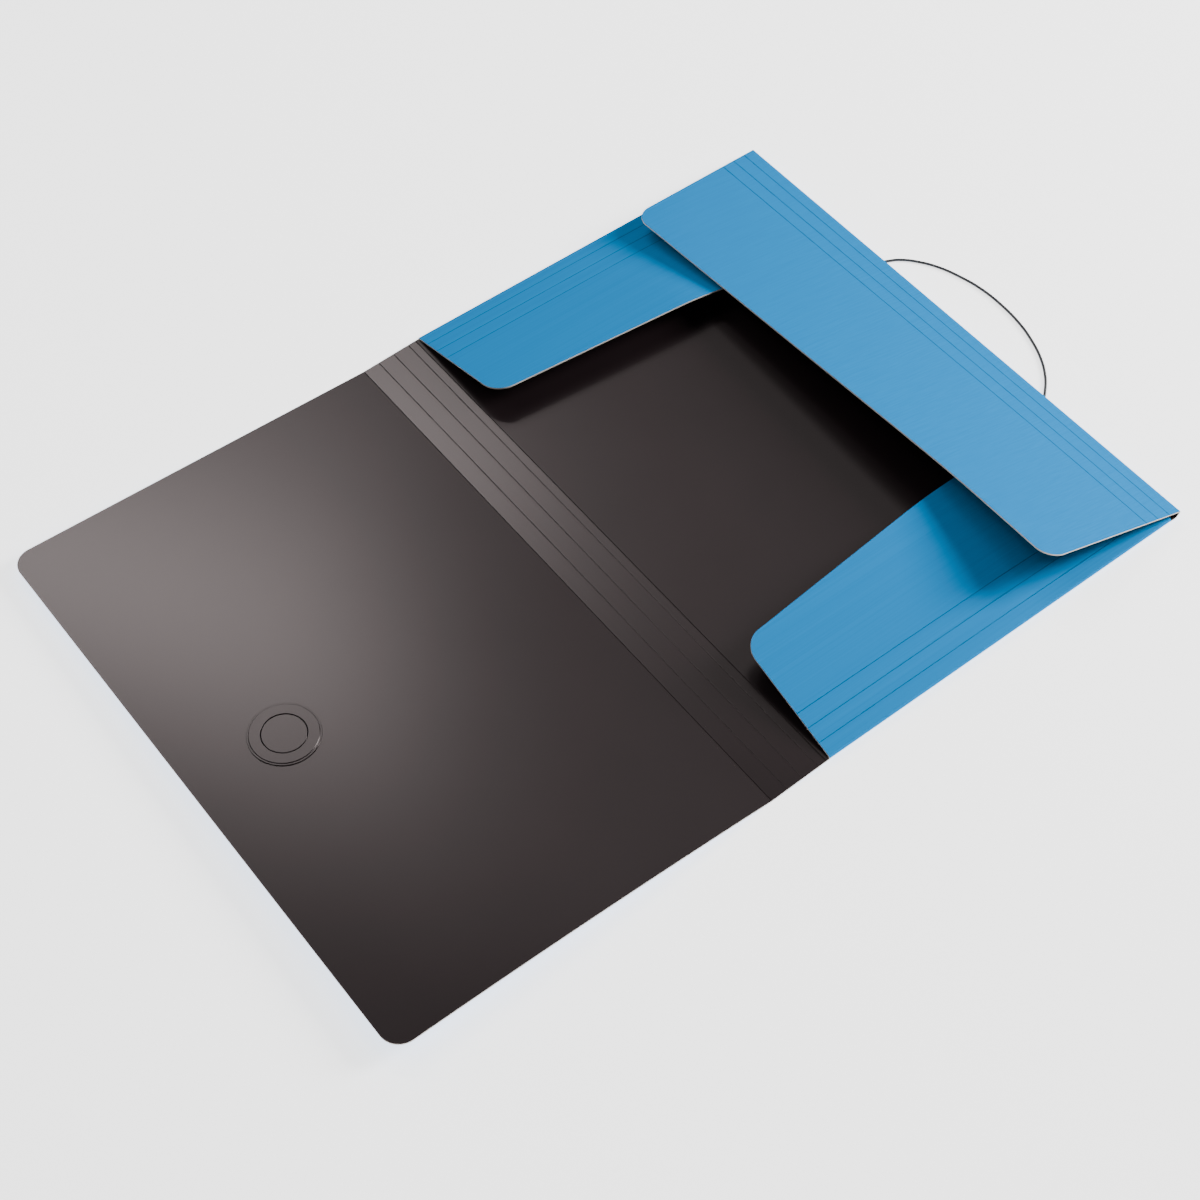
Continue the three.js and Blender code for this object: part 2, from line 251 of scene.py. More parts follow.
brownMoulding = {
    "dark": (0.0115, 0.0080, 0.0088),
    "light": (0.0140, 0.0100, 0.0108),
    "roughness": 0.3,
    "glossTint": (1.0, 0.87, 0.86),
}
blackMoulding = {
    "dark": (0.010, 0.010, 0.011),
    "light": (0.016, 0.016, 0.017),
    "roughness": 0.38,
    "glossTint": (1.0, 1.0, 1.0),
}
mouldingGloss = 0.5
mouldingGrain = {
    "stretch": (1, 1, 1), "scale": 900, "detail": 3.0, "roughness": 0.55,
    "bump": 0.15, "height": 0.03 * mm,
}


def makeMoulding(name, settings):
    material, tree, shader = newMaterial(name, settings["roughness"], mouldingGloss)
    shader.inputs["Specular Tint"].default_value = (*settings["glossTint"], 1)
    grain = noiseOn(tree, mouldingGrain)
    colour = tonesOn(tree, grain, settings["dark"], settings["light"])
    link(tree, colour, "Color", shader, "Base Color")
    bump = bumpFrom(tree, grain, "Fac", mouldingGrain)
    link(tree, bump, "Normal", shader, "Normal")
    return material


elasticFinish = {
    "light": (0.060, 0.062, 0.066),
    "lightTo": 0.1,
    "dark": (0.006, 0.006, 0.007),
    "darkFrom": 0.7,
    "roughness": 0.5,
    "gloss": 0.5,
    "braid": {"stretch": (1, 1, 1), "scale": 2300, "bump": 0.6, "height": 0.12 * mm},
}


def makeElastic(settings):
    material, tree, shader = newMaterial("blackElastic", settings["roughness"], settings["gloss"])
    strands = settings["braid"]
    braid = tree.nodes.new("ShaderNodeTexVoronoi")
    braid.inputs["Scale"].default_value = strands["scale"]
    link(tree, objectPattern(tree, strands["stretch"]), "Vector", braid, "Vector")
    colour = rampOn(tree, braid, "Distance", [
        (settings["lightTo"], settings["light"]),
        (settings["darkFrom"], settings["dark"]),
    ])
    link(tree, colour, "Color", shader, "Base Color")
    bump = bumpFrom(tree, braid, "Distance", strands)
    link(tree, bump, "Normal", shader, "Normal")
    return material


blueCard = makeBlueCard("blueRibbedCard", blueOutside, 1)
# The blue of the pressed lines: the same card, darkened with painted shade in the grooves
blueScorePaintedShade = makeBlueCard("blueCardWithPaintedShade", blueOutside, blueOutside["paintedScoreShade"])
brownCard = makeBrownCard(brownInside)
cardEdge = makeCutEdge(cutEdge)
brownPlastic = makeMoulding("brownMoulding", brownMoulding)
blackPlastic = makeMoulding("blackMoulding", blackMoulding)
blackElastic = makeElastic(elasticFinish)
print("stage: materials")


# Modelling helpers

def deselectAll():
    if bpy.context.object and bpy.context.object.mode != "OBJECT":
        bpy.ops.object.mode_set(mode="OBJECT")
    bpy.ops.object.select_all(action="DESELECT")


def takeUp(piece):
    deselectAll()
    piece.select_set(True)
    bpy.context.view_layer.objects.active = piece


def selectVertices(piece, wanted):
    bpy.ops.object.mode_set(mode="EDIT")
    bpy.ops.mesh.select_mode(type="VERT")
    bpy.ops.mesh.select_all(action="DESELECT")
    mesh = bmesh.from_edit_mesh(piece.data)
    for vertex in mesh.verts:
        vertex.select_set(wanted(vertex.co))
    bmesh.update_edit_mesh(piece.data)


# A flat rectangle of card, its place in its mesh
def flatSheet(name, left, right, foot, head):
    deselectAll()
    bpy.ops.mesh.primitive_plane_add(size=1, location=((left + right) / 2, (foot + head) / 2, 0))
    sheet = bpy.context.object
    sheet.name = name
    bpy.ops.transform.resize(value=(right - left, head - foot, 1))
    bpy.ops.object.transform_apply(location=True, rotation=True, scale=True)
    return sheet


def roundCorners(sheet, wanted):
    takeUp(sheet)
    selectVertices(sheet, wanted)
    radius, steps = card["cornerRadius"], card["cornerSteps"]
    bpy.ops.mesh.bevel(offset=radius, segments=steps, affect="VERTICES")
    bpy.ops.object.mode_set(mode="OBJECT")


# Straight cuts across the flat sheet, so that it can bend there
def cutAlong(sheet, places, normal):
    takeUp(sheet)
    bpy.ops.object.mode_set(mode="EDIT")
    direction = Vector(normal)
    for place in places:
        bpy.ops.mesh.select_all(action="SELECT")
        bpy.ops.mesh.bisect(plane_co=direction * place, plane_no=direction)
    bpy.ops.object.mode_set(mode="OBJECT")


def evenly(low, high, count):
    return [low + (high - low) * i / count for i in range(1, count)]


def scoreCuts(scores):
    half = card["scoreHalfWidth"]
    return [line + side for line in scores for side in (-half, 0, half)]


# A pressed line is deepest on its middle cut
def scoreDip(across, scores):
    middle = 0.2 * card["scoreHalfWidth"]
    onLine = any(abs(across - line) < middle for line in scores)
    return card["scoreDepth"] if onLine else 0.0


# The faces of the pressed lines get their own material, whose blue side is darkened with painted shade
# in the groove; across measures a flat point from the fold
def markScores(sheet, across, scores):
    for face in sheet.data.polygons:
        place = across(face.center)
        if any(abs(place - line) < card["scoreHalfWidth"] for line in scores):
            face.material_index = paintedShadeSlot


def bendBy(sheet, place):
    for vertex in sheet.data.vertices:
        vertex.co = place(vertex.co.copy())
    sheet.data.update()


# The places of a sheet's finishes: two sides and the cut edge, and the same three on pressed lines,
# where the blue is darkened with painted shade
paintedShadeSlot = 3
cutEdges = (2, 5)
scoreFinishWithPaintedShade = {brownCard: brownCard, blueCard: blueScorePaintedShade}


# Gives the sheet its thickness: the first finish is on the side that the flat sheet shows upwards
def thicken(sheet, firstSide, otherSide):
    takeUp(sheet)
    pressed = (scoreFinishWithPaintedShade[firstSide], scoreFinishWithPaintedShade[otherSide], cardEdge)
    for material in (firstSide, otherSide, cardEdge, *pressed):
        sheet.data.materials.append(material)
    solid = sheet.modifiers.new("thickness", "SOLIDIFY")
    solid.thickness = card["thickness"]
    solid.offset = 0
    solid.use_even_offset = True
    solid.material_offset = 1
    solid.material_offset_rim = 2
    bpy.ops.object.modifier_apply(modifier=solid.name)


# Softens the cut edges, leaving the ends that butt against a crease strip sharp
def softenCutEdges(sheet, isJoined):
    takeUp(sheet)
    bpy.ops.object.mode_set(mode="EDIT")
    bpy.ops.mesh.select_mode(type="EDGE")
    bpy.ops.mesh.select_all(action="DESELECT")
    mesh = bmesh.from_edit_mesh(sheet.data)
    for edge in mesh.edges:
        kinds = {face.material_index in cutEdges for face in edge.link_faces}
        joined = all(isJoined(vertex.co) for vertex in edge.verts)
        edge.select_set(len(kinds) == 2 and not joined)
    bmesh.update_edit_mesh(sheet.data)
    bpy.ops.mesh.bevel(offset=card["edgeBevel"], segments=card["edgeSteps"], affect="EDGES")
    bpy.ops.object.mode_set(mode="OBJECT")


def smoothOff(piece, angle=card["smoothAngle"]):
    takeUp(piece)
    bpy.ops.object.shade_smooth_by_angle(angle=math.radians(angle))


punchTool = {"sides": 64, "depth": 6 * card["thickness"]}


# A punched hole through the card, its wall a cut edge
def punchHole(sheet, place, radius):
    deselectAll()
    sides, depth = punchTool["sides"], punchTool["depth"]
    bpy.ops.mesh.primitive_cylinder_add(vertices=sides, radius=radius, depth=depth)
    punch = bpy.context.object
    punch.data.transform(place)
    for material in sheet.data.materials:
        punch.data.materials.append(material)
    for face in punch.data.polygons:
        face.material_index = cutEdges[0]
    takeUp(sheet)
    cut = sheet.modifiers.new("hole", "BOOLEAN")
    cut.object = punch
    cut.operation = "DIFFERENCE"
    cut.solver = "EXACT"
    bpy.ops.object.modifier_apply(modifier=cut.name)
    bpy.data.objects.remove(punch)


# The strip of card at a moving fold, shaped at rest to run from one side's plane to the other's
def addCrease(name, fold, place, cutsAlong, node):
    reach, bend, steps = card["foldReach"], card["blendReach"], card["creaseCuts"]
    strip = flatSheet(name, fold.x - reach, fold.x + reach, footY, headY)
    cutAlong(strip, [fold.x + reach * i / steps for i in range(1 - steps, steps)], (1, 0, 0))
    cutAlong(strip, evenly(footY, headY, cutsAlong), (0, 1, 0))
    bendBy(strip, place)
    thicken(strip, brownCard, blueCard)
    for vertex in strip.data.vertices:
        if abs(vertex.co.x - fold.x) < card["nearFold"] and vertex.co.z > fold.z:
            vertex.co.z -= card["scoreDepth"]
    softenCutEdges(strip, lambda place: abs(place.x - fold.x) > reach - card["nearEnd"])
    smoothOff(strip)
    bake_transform(strip)
    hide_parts(node)


# The elastic: down through the head hole, under the panel, round past the fore-edge and back. The
# sizes that its route uses are in millimetres.
elastic = {
    "diameter": 1.5 * mm,
    "length": 225.8 * mm,
    "roundSteps": 4,
    "pointSteps": 8,
    "leg": 195.0,
    "headY": 60.0,
    "footY": -73.0,
    "low": 0.79,
    "endHeight": 5.2,
}


def elasticRoute(settings):
    leg, low, end = settings["leg"], settings["low"], settings["endHeight"]
    head, foot = settings["headY"], settings["footY"]
    return [
        (leg, head, end),
        (leg + 0.02, head, 3.9),
        (leg + 0.5, head, 2.1),
        (leg + 1.8, head, 1.02),
        (leg + 3.6, head + 0.1, low),
        (leg + 5.6, head + 0.3, low),
        (206, 60.6, low),
        (218, 60.1, low),
        (228, 57.7, low),
        (236.8, 54.3, low),
        (241.9, 51.3, low),
        (249.1, 43.5, low),
        (254.7, 34, low),
        (258.6, 22.7, low),
        (261.2, 10.2, low),
        (261.7, -5, low),
        (259.8, -21.5, low),
        (257.1, -31.5, low),
        (252.1, -43.8, low),
        (245.4, -54.2, low),
        (238.2, -61.6, low),
        (230, -67.6, low),
        (219, -71.8, low),
        (207, -73.2, low),
        (leg + 5.6, foot, low),
        (leg + 3.6, foot, low),
        (leg + 1.8, foot, 1.02),
        (leg + 0.5, foot, 2.1),
        (leg + 0.02, foot, 3.9),
        (leg, foot, end),
    ]


def addElastic(settings):
    points = [Vector(point) * mm for point in elasticRoute(settings)]
    curve = bpy.data.curves.new("elasticLoop", "CURVE")
    curve.dimensions = "3D"
    curve.bevel_depth = settings["diameter"] / 2
    curve.bevel_resolution = settings["roundSteps"]
    curve.resolution_u = settings["pointSteps"]
    curve.use_fill_caps = True
    spline = curve.splines.new("BEZIER")
    spline.bezier_points.add(len(points) - 1)
    for bezier, point in zip(spline.bezier_points, points):
        bezier.co = point
        bezier.handle_left_type = bezier.handle_right_type = "AUTO"
    loop = bpy.data.objects.new("elasticLoop", curve)
    bpy.context.scene.collection.objects.link(loop)
    curve.materials.append(blackElastic)
    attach(loop, "back")
    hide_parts("elastic_cord")
    print("elastic length in mm:", round(spline.calc_length() / mm, 1))


addElastic(elastic)
print("stage: elastic")


# Front cover: flat along its head, bowed along its foot
cover = {
    "width": coverFold.x - coverLow.x,
    "headLift": 5.8 * mm,
    "footLift": 9.9 * mm,
    "footBow": 0.95,
    "cutsAcross": 26,
    "cutsAlong": 30,
}


def coverPlace(across, y):
    towardsFoot = (headY - y) / (headY - footY)
    lift = cover["headLift"] + (cover["footLift"] - cover["headLift"]) * towardsFoot
    bow = cover["footBow"] * towardsFoot
    share = across / cover["width"]
    raised = lift * ((1 - bow) * share + bow * (1 - (1 - share) ** 2))
    return Vector((coverFold.x - across, y, coverFold.z + raised))


closure = {
    "fromCrease": 153.4 * mm,
    "fromFoot": 157.6 * mm,
    "holeRadius": 11.5 * mm,
    "spigotRadius": 10.45 * mm,
    "spigotTop": 1.2 * mm,
    "baseRadius": 15 * mm,
    "baseTop": -0.75 * mm,
    "baseUnder": -1.75 * mm,
    "stemRadius": 11 * mm,
    "headRadius": 17 * mm,
    "headThickness": 2.4 * mm,
    "ringRadius": 17 * mm,
    "ringStepRadius": 16.1 * mm,
    "ringInner": 10.75 * mm,
    "ringUnder": 0.46 * mm,
    "ringStep": 0.9 * mm,
    "ringTop": 1.3 * mm,
    "ringStepLean": 0.1 * mm,
    "ringRound": 0.15 * mm,
    "edgeRound": 0.25 * mm,
    "lowest": 0.02 * mm,        # the head's lowest point above the table
}


# Where the closure stands on the cover, its Z square to the card
def closurePlace():
    across, y = closure["fromCrease"], footY + closure["fromFoot"]
    middle = coverPlace(across, y)
    alongX = coverPlace(across - mm, y) - coverPlace(across + mm, y)
    alongY = coverPlace(across, y + mm) - coverPlace(across, y - mm)
    up = alongX.cross(alongY).normalized()
    right = alongX.normalized()
    turn = Matrix((right, up.cross(right), up)).transposed().to_4x4()
    return Matrix.Translation(middle) @ turn


def addCover():
    reach = card["foldReach"]
    sheet = flatSheet("coverCard", coverLow.x, coverFold.x - reach, footY, headY)
    roundCorners(sheet, lambda place: place.x < coverLow.x + mm)
    cutAlong(sheet, evenly(coverLow.x, coverFold.x, cover["cutsAcross"]), (1, 0, 0))
    cutAlong(sheet, evenly(footY, headY, cover["cutsAlong"]), (0, 1, 0))
    bendBy(sheet, lambda place: coverPlace(coverFold.x - place.x, place.y))
    thicken(sheet, brownCard, blueCard)
    softenCutEdges(sheet, lambda place: place.x > coverFold.x - reach - card["nearEnd"])
    punchHole(sheet, closurePlace(), closure["holeRadius"])
    smoothOff(sheet)
    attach(sheet, "cover")
    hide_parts("front_cover")


addCover()
print("stage: cover")


# Spine: a flat strip with three scored lines
spine = {
    "scores": [4.5 * mm, 13.7 * mm, 22.9 * mm],
    "cutsAlong": 12,
    "nearEnd": 0.2 * mm,
}
spineSlope = (spineFold.z - coverFold.z) / (spineFold.x - coverFold.x)


def spinePlace(x, y, dip=0.0):
    return Vector((x, y, spineFold.z - (spineFold.x - x) * spineSlope - dip))


def addSpine():
    reach, nearEnd = card["foldReach"], spine["nearEnd"]
    sheet = flatSheet("spineCard", coverFold.x + reach, spineFold.x - reach, footY, headY)
    cutAlong(sheet, [spineFold.x - line for line in scoreCuts(spine["scores"])], (1, 0, 0))
    cutAlong(sheet, evenly(footY, headY, spine["cutsAlong"]), (0, 1, 0))
    markScores(sheet, lambda place: spineFold.x - place.x, spine["scores"])
    bendBy(sheet, lambda place: spinePlace(
        place.x, place.y, scoreDip(spineFold.x - place.x, spine["scores"])))
    thicken(sheet, brownCard, blueCard)
    softenCutEdges(sheet, lambda place: not (
        coverFold.x + reach + nearEnd < place.x < spineFold.x - reach - nearEnd))
    smoothOff(sheet)
    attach(sheet, "spine")
    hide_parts("spine_strip")


def spineFoldPlace(place):
    if place.x > spineFold.x:
        return Vector((place.x, place.y, card["panelMiddle"]))
    return spinePlace(place.x, place.y)


def coverFoldPlace(place):
    if place.x > coverFold.x:
        return spinePlace(place.x, place.y)
    return coverPlace(coverFold.x - place.x, place.y)


addSpine()
addCrease("spineCrease", spineFold, spineFoldPlace,
          spine["cutsAlong"], "spine_strip")
addCrease("coverCrease", coverFold, coverFoldPlace,
          cover["cutsAlong"], "spine_strip")
print("stage: spine")


# Back panel with its fore-edge wall and the head and foot flaps, folded from one flat sheet
backSheet = {
    "foreCorner": foreFold.x - 2.3 * mm,
    "bendRadius": 0.9 * mm,
    "flapLeft": spineFold.x + 2 * mm,
    "flapRight": foreFold.x - 5.8 * mm,
    "foldGap": 0.4 * mm,
    "spineWidth": 65 * mm,
    "foreWidth": 85 * mm,
    "endInset": 2.5 * mm,
    "rise": 13.8 * mm,
    "pressStart": 112 * mm,
    "cutsAcross": 40,
    "cutsAlong": 14,
    "bendSteps": 5,
    "foldSteps": 10,
    "flapCuts": 7,
    "wallFrom": 228 * mm,
    "near": 0.01 * mm,
    "holeX": 195.4 * mm,
    "holeYs": [60 * mm, -73 * mm],
    "holeRadius": 1.95 * mm,
}
flapScores = [8.15 * mm, 16.3 * mm, 24.45 * mm]
plainFrom = 28 * mm         # past the pressed lines, where a flap is cut evenly
foldRadius = (card["thickness"] + backSheet["foldGap"]) / 2
foldInset = card["thickness"] / 2 + foldRadius
foldLength = math.pi * foldRadius
panelEdge = headY - foldInset
wallCorner = Vector((backSheet["foreCorner"], 0, card["panelMiddle"]))
wallRise = Vector((foreFold.x, 0, foreFold.z)) - wallCorner
wallUp = wallRise.normalized()
wallAngle = math.atan2(wallUp.z, wallUp.x)
wallSetBack = backSheet["bendRadius"] * math.tan(wallAngle / 2)
wallReach = 2.2 * mm        # how far the fore crease's own strip runs each side of its fold


def smoothStep(value, low, high):
    share = min(max((value - low) / (high - low), 0), 1)
    return share * share * (3 - 2 * share)


# A point of a head or foot flap, by how far it lies past the panel's edge on the flat sheet
def flapPlace(x, past, side):
    middle = card["panelMiddle"]
    if past <= foldLength:
        turn = past / foldRadius
        inward = foldInset - foldRadius * math.sin(turn)
        return Vector((x, side * (headY - inward), middle + foldRadius * (1 - math.cos(turn))))
    left, right = backSheet["flapLeft"], backSheet["flapRight"]
    narrow, wide = backSheet["spineWidth"], backSheet["foreWidth"]
    width = narrow + (wide - narrow) * (x - left) / (right - left)
    across = foldInset + past - foldLength
    lastLine = flapScores[-1] + card["scoreHalfWidth"]
    inward = across
    if across > lastLine:
        inward = lastLine + (across - lastLine) * (width - lastLine) / (narrow - lastLine)
    rise = backSheet["rise"] * (1 - smoothStep(x, left + backSheet["pressStart"], right))
    z = middle + 2 * foldRadius + rise * (inward - foldInset) / (width - foldInset)
    return Vector((x, side * (headY - inward), z - scoreDip(across, flapScores)))


# The panel, and the wall that leans outwards from a small round bend in it
def panelPlace(x, y):
    radius = backSheet["bendRadius"]
    past = x - (wallCorner.x - wallSetBack)
    if past <= 0:
        return Vector((x, y, wallCorner.z))
    if past <= radius * wallAngle:
        turn = past / radius
        x = wallCorner.x - wallSetBack + radius * math.sin(turn)
        return Vector((x, y, wallCorner.z + radius * (1 - math.cos(turn))))
    place = wallCorner + wallUp * (wallSetBack + past - radius * wallAngle)
    return Vector((place.x, y, place.z))


def pullOut(sheet, side, left, right, distance):
    takeUp(sheet)
    bpy.ops.object.mode_set(mode="EDIT")
    bpy.ops.mesh.select_mode(type="EDGE")
    bpy.ops.mesh.select_all(action="DESELECT")
    mesh = bmesh.from_edit_mesh(sheet.data)
    near = backSheet["near"]
    for rim in mesh.edges:
        ends = [vertex.co for vertex in rim.verts]
        onEdge = all(abs(place.y - side * panelEdge) < near for place in ends)
        within = all(left - near < place.x < right + near for place in ends)
        rim.select_set(onEdge and within)
    bmesh.update_edit_mesh(sheet.data)
    bpy.ops.mesh.extrude_region_move(TRANSFORM_OT_translate={"value": (0, side * distance, 0)})
    bpy.ops.object.mode_set(mode="OBJECT")


# The flap's far edge drawn in at its two ends, and its corners rounded
def shapeFlap(sheet, side, farEdge):
    takeUp(sheet)
    near = backSheet["near"]
    middle = (backSheet["flapLeft"] + backSheet["flapRight"]) / 2
    for vertex in sheet.data.vertices:
        if side * vertex.co.y > farEdge - near:
            vertex.co.x += backSheet["endInset"] * (1 if vertex.co.x < middle else -1)
    roundCorners(sheet, lambda place: side * place.y > farEdge - near)


def foldUp(place):
    past = abs(place.y) - panelEdge
    tiny = 0.001 * mm
    left, right = backSheet["flapLeft"] + tiny, backSheet["flapRight"] - tiny
    if past > tiny and left < place.x < right:
        return flapPlace(place.x, past, math.copysign(1, place.y))
    return panelPlace(place.x, place.y)


def isButtEnd(place):
    offset = place - Vector((foreFold.x, place.y, foreFold.z))
    nearEnd = card["nearEnd"]
    atWall = place.x > backSheet["wallFrom"] and offset.dot(wallUp) > -wallReach - nearEnd
    return atWall or place.x < spineFold.x + card["foldReach"] + nearEnd


def addBackSheet():
    left = spineFold.x + card["foldReach"]
    bendStart = wallCorner.x - wallSetBack
    bendLength = backSheet["bendRadius"] * wallAngle
    right = bendStart + bendLength + wallRise.length - wallSetBack - wallReach
    flapLeft, flapRight = backSheet["flapLeft"], backSheet["flapRight"]
    sheet = flatSheet("backCard", left, right, -panelEdge, panelEdge)
    cutAlong(sheet, [flapLeft, flapRight], (1, 0, 0))
    flapLength = foldLength + backSheet["spineWidth"] - foldInset
    for side in (1, -1):
        pullOut(sheet, side, left, flapLeft, foldInset)
        pullOut(sheet, side, flapRight, right, foldInset)
        pullOut(sheet, side, flapLeft, flapRight, flapLength)
        shapeFlap(sheet, side, panelEdge + flapLength)
    bendSteps, foldSteps = backSheet["bendSteps"], backSheet["foldSteps"]
    bendCuts = [bendStart + bendLength * i / bendSteps for i in range(bendSteps + 1)]
    cutAlong(sheet, evenly(flapLeft, flapRight, backSheet["cutsAcross"]) + bendCuts, (1, 0, 0))
    flapStart = panelEdge + foldLength - foldInset
    cuts = [panelEdge + foldLength * i / foldSteps for i in range(1, foldSteps + 1)]
    cuts += [flapStart + line for line in scoreCuts(flapScores)]
    flapEnd = flapStart + backSheet["spineWidth"]
    cuts += evenly(flapStart + plainFrom, flapEnd, backSheet["flapCuts"])
    cuts += [-place for place in cuts]
    cutAlong(sheet, cuts + evenly(-panelEdge, panelEdge, backSheet["cutsAlong"]), (0, 1, 0))
    markScores(sheet, lambda place: abs(place.y) - flapStart, flapScores)
    bendBy(sheet, foldUp)
    thicken(sheet, brownCard, blueCard)
    softenCutEdges(sheet, isButtEnd)
    for y in backSheet["holeYs"]:
        place = Matrix.Translation((backSheet["holeX"], y, card["panelMiddle"]))
        punchHole(sheet, place, backSheet["holeRadius"])
    smoothOff(sheet)
    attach(sheet, "back")
    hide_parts("back_panel")


addBackSheet()
print("stage: back")


# Fore-edge flap: stands off the contents more steeply at its foot than at its head
foreFlap = {
    "width": 91 * mm,
    "endInset": 7.7 * mm,
    "headTilt": 6.2,
    "footTilt": 15.8,
    "twistStart": 68 * mm,
    "twistSoftness": 26 * mm,
    "creaseRadius": 0.6 * mm,
    "creaseBend": 0.6 * mm,
    "creaseWay": (-0.367, 0, 0.930),    # midway between the wall's slope and the flap's
    "arcSteps": 5,
    "arcShare": 0.5,                    # the part of the crease's flat strip that is round
    "flapCuts": 6,
    "cutsAlong": 40,
    "nearEnd": 0.3 * mm,
}


def foreFlapTilt(y):
    def ramp(distance):
        past = distance - foreFlap["twistStart"]
        return past + math.hypot(past, foreFlap["twistSoftness"])

    share = ramp(y - footY) / ramp(headY - footY)
    return math.radians(foreFlap["footTilt"] + (foreFlap["headTilt"] - foreFlap["footTilt"]) * share)


def drawnIn(along, y):
    return y * (1 - foreFlap["endInset"] * along / foreFlap["width"] / headY)


def foreFlapPlace(place):
    along, y = -place.x, place.y
    tilt = foreFlapTilt(y)
    z = foreFold.z + along * math.sin(tilt) - scoreDip(along, flapScores)
    return Vector((foreFold.x - along * math.cos(tilt), drawnIn(along, y), z))


# The rounded crease on top of the wall; its flat strip runs from -1 mm at the wall to 1 mm at the flap
def foreCreasePlace(place):
    share, y = place.x / mm, place.y
    arc = foreFlap["arcShare"]
    tilt = foreFlapTilt(y)
    flapWay = Vector((-math.cos(tilt), 0, math.sin(tilt)))
    turn = math.acos(wallUp.dot(flapWay))
    radius = foreFlap["creaseRadius"]
    setBack = radius * math.tan(turn / 2)
    fold = Vector((foreFold.x, 0, foreFold.z))
    along = 0
    if share < -arc:
        spot = fold - wallUp * (setBack + (wallReach - setBack) * (-arc - share) / (1 - arc))
    elif share > arc:
        along = setBack + (wallReach - setBack) * (share - arc) / (1 - arc)
        spot = fold + flapWay * along
    else:
        along = setBack * (share + arc)
        inner = Vector((-wallUp.z, 0, wallUp.x))
        angle = (share + arc) * turn
        spot = fold - wallUp * setBack + inner * radius
        spot += (wallUp * math.sin(angle) - inner * math.cos(angle)) * radius
    return Vector((spot.x, drawnIn(along, y), spot.z))


def addForeFlap():
    width = foreFlap["width"]
    sheet = flatSheet("foreFlapCard", -width, -wallReach, footY, headY)
    roundCorners(sheet, lambda place: place.x < mm - width)
    lines = [-line for line in scoreCuts(flapScores)]
    cutAlong(sheet, lines + evenly(-width, -plainFrom, foreFlap["flapCuts"]), (1, 0, 0))
    cutAlong(sheet, evenly(footY, headY, foreFlap["cutsAlong"]), (0, 1, 0))
    markScores(sheet, lambda place: -place.x, flapScores)
    bendBy(sheet, foreFlapPlace)
    thicken(sheet, blueCard, brownCard)
    softenCutEdges(sheet, lambda place: place.x > foreFold.x - wallReach - card["nearEnd"])
    smoothOff(sheet)
    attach(sheet, "fore_flap")
    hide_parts("fore_edge_flap")


def addForeCrease():
    steps, nearEnd = foreFlap["arcSteps"], foreFlap["nearEnd"]
    strip = flatSheet("foreCrease", -mm, mm, footY, headY)
    cutAlong(strip, [mm * i / (2 * steps) for i in range(-steps, steps + 1)], (1, 0, 0))
    cutAlong(strip, evenly(footY, headY, foreFlap["cutsAlong"]), (0, 1, 0))
    bendBy(strip, foreCreasePlace)
    thicken(strip, brownCard, blueCard)

    def isButt(place):
        offset = place - Vector((foreFold.x, place.y, foreFold.z))
        return offset.dot(wallUp) < nearEnd - wallReach or offset.x < nearEnd - wallReach

    softenCutEdges(strip, isButt)
    smoothOff(strip)
    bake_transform(strip)
    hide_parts("fore_edge_flap")


addForeFlap()
addForeCrease()
print("stage: fore flap")


turned = {
    "sides": 96,
    "mergeDistance": 0.001 * mm,
    "edgeSteps": 3,
    "sharpAngle": 30,
    "smoothAngle": 12,      # less than the first step of a rounded edge, so that flat faces stay flat
}


# Turned pieces: a ring of vertices drawn on from one radius and height to the next
def turnedPiece(name, loops, place, edgeRound, material, hollow=False):
    deselectAll()
    radius, height = loops[0]
    fill = "NOTHING" if hollow else "NGON"
    bpy.ops.mesh.primitive_circle_add(vertices=turned["sides"], radius=radius, fill_type=fill)
    piece = bpy.context.object
    piece.name = name
    bpy.ops.object.mode_set(mode="EDIT")
    bpy.ops.mesh.select_all(action="SELECT")
    bpy.ops.transform.translate(value=(0, 0, height))
    for nextRadius, nextHeight in loops[1:]:
        step = (0, 0, nextHeight - height)
        bpy.ops.mesh.extrude_region_move(TRANSFORM_OT_translate={"value": step})
        scale = nextRadius / radius
        bpy.ops.transform.resize(value=(scale, scale, 1), center_override=(0, 0, 0))
        radius, height = nextRadius, nextHeight
    bpy.ops.mesh.select_all(action="SELECT")
    bpy.ops.mesh.remove_doubles(threshold=turned["mergeDistance"])
    bpy.ops.mesh.normals_make_consistent(inside=False)
    bpy.ops.object.mode_set(mode="OBJECT")
    soft = piece.modifiers.new("soft edges", "BEVEL")
    soft.width = edgeRound
    soft.segments = turned["edgeSteps"]
    soft.limit_method = "ANGLE"
    soft.angle_limit = math.radians(turned["sharpAngle"])
    bpy.ops.object.modifier_apply(modifier=soft.name)
    piece.data.transform(place)
    piece.data.materials.append(material)
    smoothOff(piece, turned["smoothAngle"])
    return piece


